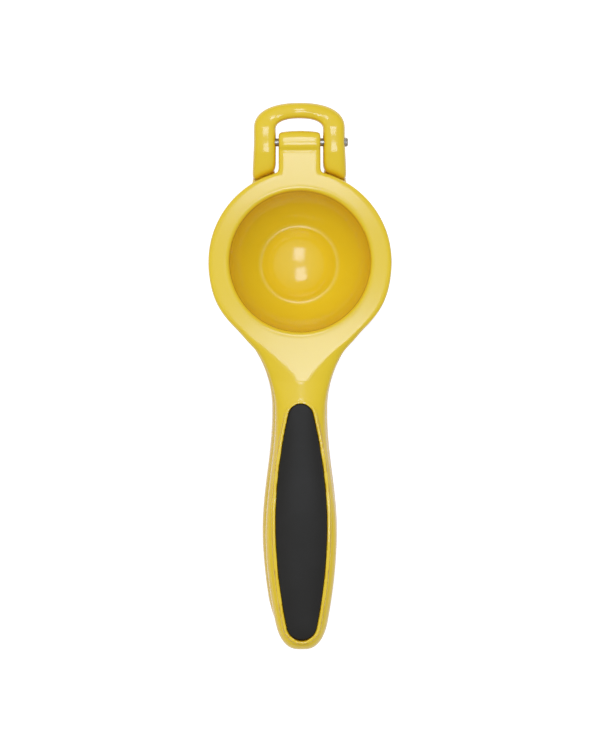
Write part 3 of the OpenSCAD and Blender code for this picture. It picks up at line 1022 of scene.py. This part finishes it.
@dataclass(frozen=True)
class GripCarrier:
    """Rigid plate under a pad, with two snap pegs through the handle's web."""

    handle: Handle
    fit: float = 0.15
    floor_gap: float = 0.01
    edge: float = 0.3
    peg_r: float = 2.0
    peg_out: float = 1.6
    peg_sides: int = 40
    barb: float = 0.12
    tip_h: float = 0.9
    tip_taper: float = 0.5
    steps: Triple = (0.7, 1.0, 0.45)
    reach: float = 3.6
    press_z: tuple[float, float] = (36.0, 46.0)
    bowl_z: tuple[float, float] = (0.5, 17.0)

    def plate(self, x: Array, y: Array, z: Array) -> Array:
        """Distance to the carrier's plate."""
        handle, away = self.handle, -y
        depth = (z - handle.back(away)) * handle.side.inward
        outline = handle.pad_outline(x, away) + self.fit
        floor = depth - handle.pad_depth + self.floor_gap
        return meet(outline, np.maximum(floor, handle.pad_depth - handle.core_t - depth), self.edge)

    def peg(self, group: NodeGroup, shaft_h: float) -> bpy.types.NodeSocket:
        """One snap peg, with its foot at the origin.

        Args:
            group: Tree that the peg is made in.
            shaft_h: Length of the shaft below the barbed tip.

        Returns:
            The peg's geometry.
        """
        inward = self.handle.side.inward
        sizes = {
            "Vertices": self.peg_sides,
            "Radius": group.given("Peg radius", self.peg_r * MM),
            "Depth": group.given("Shaft length", shaft_h * MM),
        }
        shaft = group.node("MeshCylinder", sizes, fill_type="NGON")
        sizes = {
            "Vertices": self.peg_sides,
            "Radius Bottom": (self.peg_r + self.barb) * MM,
            "Radius Top": (self.peg_r - self.tip_taper) * MM,
            "Depth": self.tip_h * MM,
        }
        tip = group.node("MeshCone", sizes, fill_type="NGON")
        middle = group.given("Shaft middle", (0.0, 0.0, inward * shaft_h / 2 * MM))
        foot = group.given("Head foot", (0.0, 0.0, inward * shaft_h * MM))
        turn = group.given("Turn", (0.0, 0.0 if inward > 0 else math.pi, 0.0))
        shaft = group.node("Transform", {"Geometry": shaft, "Translation": middle})
        tip = group.node("Transform", {"Geometry": tip, "Translation": foot, "Rotation": turn})
        return group.merged([shaft, tip])

    def build(self) -> bpy.types.Object:
        """Builds and dresses the carrier."""
        handle, side = self.handle, self.handle.side
        heights = self.press_z if side is Side.PRESS else self.bowl_z
        plate = skin("carrier_plate", self.plate, handle.pocket_grid(heights, self.steps, 1.0, self.reach))
        rooted = side.inward * (handle.pad_depth - handle.core_t / 2)
        near, far = (Vector((0.0, -y, float(handle.back(np.array(y))) + rooted)) for y in handle.peg_holes_y)
        web = handle.thickness - handle.channel_depth - handle.pad_depth
        group = NodeGroup("snap_pegs")
        line = {
            "Count": group.given("Pegs", len(handle.peg_holes_y)),
            "Start Location": group.given("First peg", tuple(near * MM)),
            "Offset": group.given("Next peg", tuple((far - near) * MM)),
        }
        peg = self.peg(group, handle.core_t / 2 + web + self.peg_out - self.tip_h)
        pegs = group.node("InstanceOnPoints", {"Points": group.node("MeshLine", line), "Instance": peg})
        whole = group.merged([group.source.outputs["Geometry"], pegs])
        material = FINISHES[Surface.CARRIER].material()
        piece = group.plain_mesh(f"{side.value}_grip_carrier", whole, material, plate.data)
        bpy.data.objects.remove(plate)
        return dress(piece, Surface.CARRIER, side.value, f"{side.value}_grip_core")


# ---------------------------------------------------------------- levers and pin


@dataclass(frozen=True)
class Hinge:
    """Sizes that the two levers and the pin share at the hinge."""

    y: float = 50.85
    z: float = 38.5
    pin_r: float = 1.75
    run_r: float = 1.83
    press_r: float = 1.77
    arm_x: float = 14.7
    arm_hw: float = 4.7
    arm_h: float = 9.0
    pin_proud: float = 1.3
    pin_wall: float = 1.5

    @property
    def side_x(self) -> float:
        """Outer side of the right arm."""
        return self.arm_x + self.arm_hw

    @property
    def pin_left(self) -> float:
        """Hidden left end of the pin."""
        return self.pin_wall - self.side_x

    def axis(self, y: Array, z: Array) -> Array:
        """Distance to the pin's axis."""
        return np.hypot(y - self.y, z - self.z)


@dataclass(frozen=True)
class Lever(ABC):
    """A cast lever, sampled on a lattice of its own."""

    handle: Handle
    hinge: Hinge
    step: float
    grid_x: Runs
    grid_y: Runs
    grid_z: Runs
    head_r: float = 38.98
    head_edge: float = 2.6
    head_fillet: float = 3.2
    bore_edge: float = 0.5

    @abstractmethod
    def shape(self, x: Array, y: Array, z: Array) -> Array:
        """Distance to the whole casting.

        Args:
            x: Places across.
            y: Places along, towards the hinge.
            z: Heights.

        Returns:
            The distances.
        """

    def build(self) -> bpy.types.Object:
        """Builds and dresses the casting."""
        name = self.handle.side.value
        lattice = Lattice(self.grid_x, self.grid_y, self.grid_z, step=self.step)
        piece = skin(f"{name}_lever_casting", self.shape, lattice)
        return dress(piece, Surface.ENAMEL, name, f"{name}_lever")


@dataclass(frozen=True)
class PressLever(Lever):
    """Upper casting: ring, cup with its raised centre, tongue, knuckle and handle."""

    step: float = 0.66
    grid_x: Runs = ((-40.4, -14.6, 1.0), (-14.6, 14.6, 0.75), (14.6, 40.4, 1.0))
    grid_y: Runs = ((-167.0, -154.0, 1.0), (-154.0, -66.0, 1.4), (-66.0, 57.6, 1.0))
    grid_z: Runs = ((11.0, 47.6, 1.0),)
    ring_top: float = 42.0
    ring_t: float = 6.0
    cup_r: float = 30.0
    cup_wall: float = 2.6
    cup_z: float = 41.0
    cup_edge: float = 2.6
    bump_r: float = 16.4
    bump_top: float = 20.6
    bump_h: float = 4.7
    bump_ball: float = 80.0
    bump_limit: float = 26.0
    dome_gap: float = 0.3
    dome_edge: float = 2.4
    dome_drop: float = 4.0
    flow: float = 1.6
    flow_top: tuple[float, float] = (0.6, 2.2)
    flow_foot: tuple[float, float] = (35.8, 37.0)
    tongue_hw: float = 8.9
    tongue_near: float = 20.0
    tongue_stop: float = 1.0
    tongue_fillet: float = 2.6
    knuckle_near: float = 30.0
    knuckle_y: float = 51.3
    knuckle_drop: float = 0.1
    knuckle_half: tuple[float, float] = (4.4, 4.9)
    knuckle_power: float = 3.0
    knuckle_fillet: float = 1.4
    knuckle_bow: float = 0.6
    bow_half: float = 8.0
    bow_run: tuple[float, float] = (50.0, 55.0)
    shoulder: float = 0.65
    shoulder_y: float = 19.0
    shoulder_run: float = 10.0

    def bump(self, r: Array) -> tuple[Array, Array]:
        """Height of the cup's raised centre at radius r, and how fast it falls there."""
        r = np.minimum(r, self.bump_limit)
        rest = self.bump_h - self.bump_r**2 / (2 * self.bump_ball)
        height = self.bump_top - r**2 / (2 * self.bump_ball) - rest * (r / self.bump_r) ** 4
        return height, r / self.bump_ball + 4 * rest * (r / self.bump_r) ** 3 / self.bump_r

    def head(self, x: Array, y: Array, z: Array, r: Array) -> Array:
        """Distance to the ring, the tongue and the knuckle.

        Args:
            x: Places across.
            y: Places along, towards the hinge.
            z: Heights.
            r: Radii from the cup's axis.

        Returns:
            The distances.
        """
        slab = np.abs(z - self.ring_top + self.ring_t / 2) - self.ring_t / 2
        ends = np.maximum(self.tongue_near - y, y - self.hinge.y + self.tongue_stop)
        tongue = np.maximum(np.abs(x) - self.tongue_hw, ends)
        shoulder = self.shoulder * np.exp(-(((y + self.shoulder_y) / self.shoulder_run) ** 2))
        ring = meet(join(r - self.head_r - shoulder, tongue, self.tongue_fillet), slab, self.head_edge)
        bowed = y + self.knuckle_bow * (x / self.bow_half) ** 2 * span(*self.bow_run, y)
        lift = z - self.hinge.z + self.knuckle_drop
        barrel = oval(bowed - self.knuckle_y, lift, *self.knuckle_half, self.knuckle_power)
        side = np.maximum(slab, np.maximum(self.knuckle_near - y, y - self.hinge.y))
        knuckle = join(side, barrel, self.knuckle_fillet)
        return np.minimum(ring, meet(knuckle, np.abs(x) - self.tongue_hw, self.head_edge))

    def shape(self, x: Array, y: Array, z: Array) -> Array:
        """Distance to the whole casting."""
        r = np.hypot(x, y)
        ball = np.hypot(r, z - self.cup_z)
        height, slope = self.bump(r)
        steep = np.sqrt(1 + slope**2)
        under = (height - self.cup_wall - self.dome_gap - z) / steep
        dome = meet(ball - self.cup_r - self.cup_wall, under, self.dome_edge)
        dome = np.maximum(dome, z - self.ring_top + self.dome_drop)
        body = join(self.head(x, y, z, r), dome, self.head_fillet)
        near, far = self.flow_top
        flow = self.flow * span(self.ring_top - near, self.ring_top - far, z) * span(*self.flow_foot, z)
        body = join(body, self.handle.body(x, -y, z), flow)
        wall = np.where(z < self.cup_z, ball, r) - self.cup_r
        hollow = meet(wall, (height - z) / steep, self.cup_edge)
        body = carve(body, hollow, self.cup_edge)
        body = self.handle.hollowed(body, x, -y, z)
        return carve(body, self.hinge.axis(y, z) - self.hinge.run_r, self.bore_edge)


@dataclass(frozen=True)
class BowlLever(Lever):
    """Lower casting: strainer bowl with its rim, the bail that holds the pin, and the handle."""

    step: float = 0.72
    grid_x: Runs = ((-40.4, 40.4, 1.0),)
    grid_y: Runs = ((-167.0, -62.0, 1.3), (-62.0, 68.6, 1.0))
    grid_z: Runs = ((-1.2, 43.4, 1.0),)
    rim_top: float = 35.7
    rim_t: float = 5.0
    bowl_r: float = 33.8
    bowl_wall: float = 3.0
    bowl_z: float = 34.79
    bowl_drop: float = 2.0
    bowl_edge: float = 1.9
    foot_edge: float = 1.6
    floor_t: float = 3.0
    floor_edge: float = 5.0
    drain_r: float = 2.2
    drain_edge: float = 0.9
    drain_rows: tuple[tuple[float, int], ...] = ((7.8, 6), (14.8, 12), (21.8, 18))
    low_run: tuple[float, float] = (0.7, 3.0)
    handle_fillet: float = 3.4
    arm_fillet: float = 2.4
    arm_root_edge: float = 5.4
    bend_y: float = 56.35
    outer_bend: float = 11.25
    inner_bend: float = 4.55
    bend_power: float = 2.42
    arm_flare: float = 0.9
    bar_y: float = 64.25
    bar_h: float = 6.7
    bar_arch: float = 1.0
    least_half: float = 1.0
    arm_power: float = 3.1
    bar_power: float = 2.1
    crest_y: float = 52.1
    crest_z: float = 42.35
    crest_tilt: float = -0.0455
    crest_bend: float = 0.00595
    crest_fall: float = 0.000168
    crest_reach: float = 6.5
    level_y: float = 58.5
    level_run: float = 5.75
    level_rise: float = 0.0188
    root_y: float = 32.83
    root_h: float = 7.6
    ring_clear: float = 0.5
    ring_drop: float = 0.3

    def crest(self, y: Array) -> Array:
        """Height of the bail's top line, nearly flat over the pin and falling faster on both sides."""
        offset = y - self.crest_y
        bent = np.clip(offset, -self.crest_reach, self.crest_reach)
        slope = 2 * self.crest_bend * bent + 4 * self.crest_fall * bent**3
        drop = self.crest_bend * bent**2 + self.crest_fall * bent**4 + slope * (offset - bent)
        late = y - self.level_y
        level = np.clip(late, 0, self.level_run)
        lift = self.level_rise * (level**2 + 2 * self.level_run * (late - level) * (late > 0))
        return self.crest_z - self.crest_tilt * offset - drop + lift

    def bail(self, x: Array, y: Array, z: Array) -> Array:
        """Distance to the bail, a loop whose top is one long arc.

        Args:
            x: Places across.
            y: Places along, towards the bail.
            z: Heights.

        Returns:
            The distances.
        """
        hinge = self.hinge
        across, past = np.abs(x), np.maximum(y - self.bend_y, 0)
        flare = self.arm_flare * (1 - span(self.root_y, hinge.y, y))
        outer = oval(across - flare, past, hinge.side_x, self.outer_bend, self.bend_power)
        inner = oval(across, past, hinge.side_x - 2 * hinge.arm_hw, self.inner_bend, self.bend_power)
        root = mix(self.root_h, hinge.arm_h, span(self.root_y, hinge.y, y))
        bar = mix(hinge.arm_h, self.bar_h, ease(span(hinge.y, self.bar_y, y)))
        height = np.where(y < hinge.y, root, bar)
        top = self.crest(y) + self.bar_arch * (1 - ease(np.minimum(across / hinge.arm_x, 1.0)))
        middle = z - top + height / 2
        power = mix(self.arm_power, self.bar_power, ease(span(self.bend_y, self.bar_y, y)))
        half = np.maximum((inner - outer) / 2, self.least_half)
        loop = oval((outer + inner) / 2, middle, half, height / 2, power)
        return np.maximum(loop, self.root_y - y)

    def drains(self, x: Array, y: Array, r: Array) -> Array:
        """Distance to the rings of drain holes.

        Args:
            x: Places across.
            y: Places along.
            r: Radii from the bowl's axis.

        Returns:
            The distances.
        """
        angle = np.arctan2(y, x)
        nearest = np.full(np.shape(x), FAR_OFF)
        for row, (radius, count) in enumerate(self.drain_rows):
            pitch = 2 * np.pi / count
            folded = (angle - row / 2 * pitch + pitch / 2) % pitch - pitch / 2
            hole = np.hypot(r * np.cos(folded) - radius, r * np.sin(folded)) - self.drain_r
            nearest = np.minimum(nearest, hole)
        return nearest

    def shape(self, x: Array, y: Array, z: Array) -> Array:
        """Distance to the whole casting."""
        r = np.hypot(x, y)
        ball = np.hypot(r, z - self.bowl_z)
        slab = np.abs(z - self.rim_top + self.rim_t / 2) - self.rim_t / 2
        rim = meet(r - self.head_r, slab, self.head_edge)
        bowl = meet(ball - self.bowl_r - self.bowl_wall, -z, self.foot_edge)
        body = join(rim, np.maximum(bowl, z - self.rim_top + self.bowl_drop), self.head_fillet)
        near, far = self.low_run
        low = span(self.rim_top - near, self.rim_top - far, z)
        body = join(body, self.handle.body(x, -y, z), self.handle_fillet * low)
        gap = np.maximum(r - self.head_r - self.ring_clear, self.rim_top - self.ring_drop - z)
        arms = carve(self.bail(x, y, z), gap, self.arm_root_edge)
        body = join(body, arms, self.arm_fillet * low)
        wall = np.where(z < self.bowl_z, ball, r) - self.bowl_r
        body = carve(body, meet(wall, self.floor_t - z, self.floor_edge), self.bowl_edge)
        body = carve(body, self.drains(x, y, r), self.drain_edge)
        body = self.handle.hollowed(body, x, -y, z)
        bore = np.maximum(self.hinge.axis(y, z) - self.hinge.press_r, self.hinge.pin_left - x)
        return carve(body, bore, self.bore_edge)


@dataclass(frozen=True)
class HingePin:
    """Steel pin with chamfered ends and splines towards its right end."""

    hinge: Hinge
    chamfer: float = 0.35
    sides: int = 64
    splines: int = 26
    spline_w: float = 0.22
    spline_taper: float = 0.8
    spline_start: float = 12.5
    spline_end: float = 20.2

    def rail(self) -> bpy.types.Mesh:
        """Line along the pin's axis whose points carry the pin's radius."""
        hinge = self.hinge
        left, right = hinge.pin_left, hinge.side_x + hinge.pin_proud
        stops = (left, left + self.chamfer, right - self.chamfer, right)
        rail = bpy.data.meshes.new("pin_rail")
        rail.from_pydata([(x * MM, hinge.y * MM, hinge.z * MM) for x in stops], [(0, 1), (1, 2), (2, 3)], [])
        thin, full = (hinge.pin_r - self.chamfer) * MM, hinge.pin_r * MM
        rail.attributes.new("girth", "FLOAT", "POINT").data.foreach_set("value", [thin, full, full, thin])
        return rail

    def build(self) -> bpy.types.Object:
        """Builds and dresses the pin."""
        hinge = self.hinge
        group = NodeGroup("ground_pin")
        girth = group.node("InputNamedAttribute", {"Name": "girth"}, data_type="FLOAT")
        rod = group.node("MeshToCurve", {"Mesh": group.source.outputs["Geometry"]})
        profile = group.node("CurvePrimitiveCircle", {"Resolution": self.sides, "Radius": 1.0})
        shaped = group.node("SetCurveRadius", {"Curve": rod, "Radius": girth})
        tube = {"Curve": shaped, "Profile Curve": profile, "Scale": girth, "Fill Caps": True}
        splines = group.given("Splines", self.splines)
        wheel = {"Vertices": splines, "Radius": group.given("Pin radius", hinge.pin_r * MM)}
        sizes = {
            "Vertices": 4,
            "Radius Bottom": group.given("Spline width", self.spline_w * MM),
            "Radius Top": self.spline_w * self.spline_taper * MM,
            "Depth": group.given("Spline length", (self.spline_end - self.spline_start) * MM),
        }
        spline = group.node("MeshCone", sizes, fill_type="NGON")
        points = group.node("MeshCircle", wheel)
        ridges = group.node("InstanceOnPoints", {"Points": points, "Instance": spline})
        start = group.given("Knurl start", (self.spline_start * MM, hinge.y * MM, hinge.z * MM))
        place = {"Geometry": ridges, "Rotation": (0.0, math.pi / 2, 0.0), "Translation": start}
        whole = group.merged([group.node("CurveToMesh", tube), group.node("Transform", place)])
        piece = group.plain_mesh("hinge_pin_rod", whole, FINISHES[Surface.PIN_STEEL].material(), self.rail())
        lengthwise = [abs(face.normal.x) < 0.5 for face in piece.data.polygons]
        piece.data.polygons.foreach_set("use_smooth", lengthwise)
        return dress(piece, Surface.PIN_STEEL, "bowl", "hinge_pin")


# ---------------------------------------------------------------- studio


@dataclass(frozen=True)
class Studio:
    """Camera over the object, white floor and soft lamps."""

    eye: Triple = (-0.018, -0.0481, 0.95)
    aim: tuple[float, float] = (-0.00022, -0.048)
    aim_z: float = 0.04
    roll: float = -0.26
    lens: float = 102.8
    sensor: float = 36.0
    floor_half: float = 1.6
    floor_z: float = -0.0002
    floor_grey: float = 0.6
    floor_white: float = 0.75
    floor_shine: float = 0.6
    floor_roughness: float = 0.9
    sky_top: float = 1.7
    sky_focus: float = 7.0
    sky_low: float = 0.42
    sky_axis: Triple = (-0.2, 0.25, 0.95)
    sky_shine: float = 0.4
    shine: float = 0.17
    box_level: float = 5.5
    box_width: float = 0.17
    box_colour: Colour = (0.8, 0.97, 1.4)
    box_z: tuple[float, float] = (1.5, 0.78)
    upper_x: float = 0.02
    upper_y: tuple[float, float] = (0.14, 0.289)
    lower_x: float = 0.05
    lower_y: tuple[float, float] = (0.018, -0.206)

    def camera(self) -> None:
        """Places the camera, looking straight down."""
        lens = bpy.data.cameras.new("camera")
        lens.lens, lens.sensor_width = self.lens, self.sensor
        lens.shift_x = (self.aim[0] - self.eye[0]) / (self.eye[2] - self.aim_z) * self.lens / self.sensor
        camera = add_object("camera", lens)
        camera.location = self.eye
        camera.rotation_euler = (0.0, 0.0, math.radians(self.roll))
        bpy.context.scene.camera = camera

    @staticmethod
    def seen_by(tree: bpy.types.NodeTree, shares: dict[str, float]) -> bpy.types.NodeSocket:
        """Largest share among the kinds of ray that a shader is seen by.

        Args:
            tree: Node tree of the material or world.
            shares: Share for each output of the Light Path node.

        Returns:
            The socket with the share.
        """
        path = add_node(tree, "ShaderNodeLightPath", {})
        largest = None
        for output, share in shares.items():
            scaled = reckon(tree, "MULTIPLY", path.outputs[output], share)
            largest = scaled if largest is None else reckon(tree, "MAXIMUM", largest, scaled)
        return largest

    def floor(self) -> None:
        """Lays the floor, which the camera sees as white apart from the object's shadow."""
        mesh = bpy.data.meshes.new("floor")
        h, z = self.floor_half, self.floor_z
        mesh.from_pydata([(-h, -h, z), (h, -h, z), (h, h, z), (-h, h, z)], [], [(0, 1, 2, 3)])
        material = new_material("white_floor")
        tree = material.node_tree
        shader = tree.nodes["Principled BSDF"]
        grey = (*[self.floor_grey] * 3, 1.0)
        feed(tree, shader, {"Base Color": grey, "Roughness": self.floor_roughness})
        white = self.floor_white
        shares = {"Is Camera Ray": white, "Is Glossy Ray": self.floor_shine, "Is Transmission Ray": white}
        glow = add_node(tree, "ShaderNodeEmission", {"Strength": self.seen_by(tree, shares)})
        both = add_node(tree, "ShaderNodeAddShader", {0: shader.outputs[0], 1: glow.outputs[0]})
        feed(tree, tree.nodes["Material Output"], {"Surface": both.outputs[0]})
        mesh.materials.append(material)
        add_object("floor", mesh)

    def world(self) -> None:
        """Lights the room softly from overhead, while the camera and shiny parts see plain white."""
        world = bpy.data.worlds.new("room")
        bpy.context.scene.world = world
        world.use_nodes = True
        tree = world.node_tree
        place = add_node(tree, "ShaderNodeTexCoord", {}).outputs["Generated"]
        dot = {0: place, 1: Vector(self.sky_axis).normalized()}
        facing = add_node(tree, "ShaderNodeVectorMath", dot, operation="DOT_PRODUCT")
        above = add_node(tree, "ShaderNodeClamp", {"Value": facing.outputs["Value"]})
        rise = reckon(tree, "POWER", above.outputs[0], self.sky_focus)
        level = reckon(tree, "MULTIPLY_ADD", rise, self.sky_top, self.sky_low)
        glossy = self.seen_by(tree, {"Is Glossy Ray": 1.0})
        dimmed = reckon(tree, "MULTIPLY_ADD", glossy, self.shine - 1, 1.0)
        room = tree.nodes["Background"]
        feed(tree, room, {"Color": WHITE, "Strength": reckon(tree, "MULTIPLY", level, dimmed)})
        plain = add_node(tree, "ShaderNodeBackground", {"Color": WHITE, "Strength": 1.0})
        shares = {"Is Camera Ray": 1.0, "Is Glossy Ray": self.sky_shine, "Is Transmission Ray": 1.0}
        parts = {0: self.seen_by(tree, shares), 1: room.outputs[0], 2: plain.outputs[0]}
        pick = add_node(tree, "ShaderNodeMixShader", parts)
        feed(tree, tree.nodes["World Output"], {"Surface": pick.outputs[0]})

    def soft_box(self, name: str, near: Vector, far: Vector) -> None:
        """Adds a rectangular lamp between two heights, leaning over the object.

        Args:
            name: Name of the lamp.
            near: Middle of its edge next to the camera.
            far: Middle of its far edge, lower down and so seen wider from below.
        """
        light = bpy.data.lights.new(name, "AREA")
        light.shape = "RECTANGLE"
        light.size, light.size_y = self.box_width, (far - near).length
        light.color = self.box_colour
        light.energy = self.box_level * math.pi * light.size * light.size_y
        middle = (near + far) / 2
        along = (far - near).normalized()
        towards = Vector((0.0, self.aim[1], self.aim_z)) - middle
        facing = -(towards - towards.project(along)).normalized()
        turn = Matrix((along.cross(facing), along, facing)).transposed().to_quaternion()
        add_object(name, light).matrix_world = Matrix.LocRotScale(middle, turn, None)

    def build(self) -> None:
        """Builds the whole studio."""
        self.world()
        self.floor()
        self.camera()
        high, low = self.box_z
        boxes = {"upper_box": (self.upper_x, *self.upper_y), "lower_box": (self.lower_x, *self.lower_y)}
        for name, (x, near, far) in boxes.items():
            self.soft_box(name, Vector((x, near, high)), Vector((x, far, low)))


def main() -> None:
    """Builds every piece in order."""
    logging.basicConfig(level=logging.INFO, format="%(message)s")
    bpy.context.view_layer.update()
    hinge = Hinge()
    handles = (
        Handle(Side.PRESS, extra=0.0, root_y=18.0, neck_fill=1.05),
        Handle(Side.BOWL, extra=1.3, root_y=27.8, neck_fill=0.0),
    )
    makers = [PressLever(handles[0], hinge), BowlLever(handles[1], hinge), HingePin(hinge)]
    makers += [Grip(handle) for handle in handles]
    makers += [GripCarrier(handle) for handle in handles]
    for maker in makers:
        piece = maker.build()
        LOG.info("%s: %d faces", piece.name, len(piece.data.polygons))
    Studio().build()
    bpy.context.scene.view_settings.view_transform = "Standard"


if __name__ == "__main__":
    main()
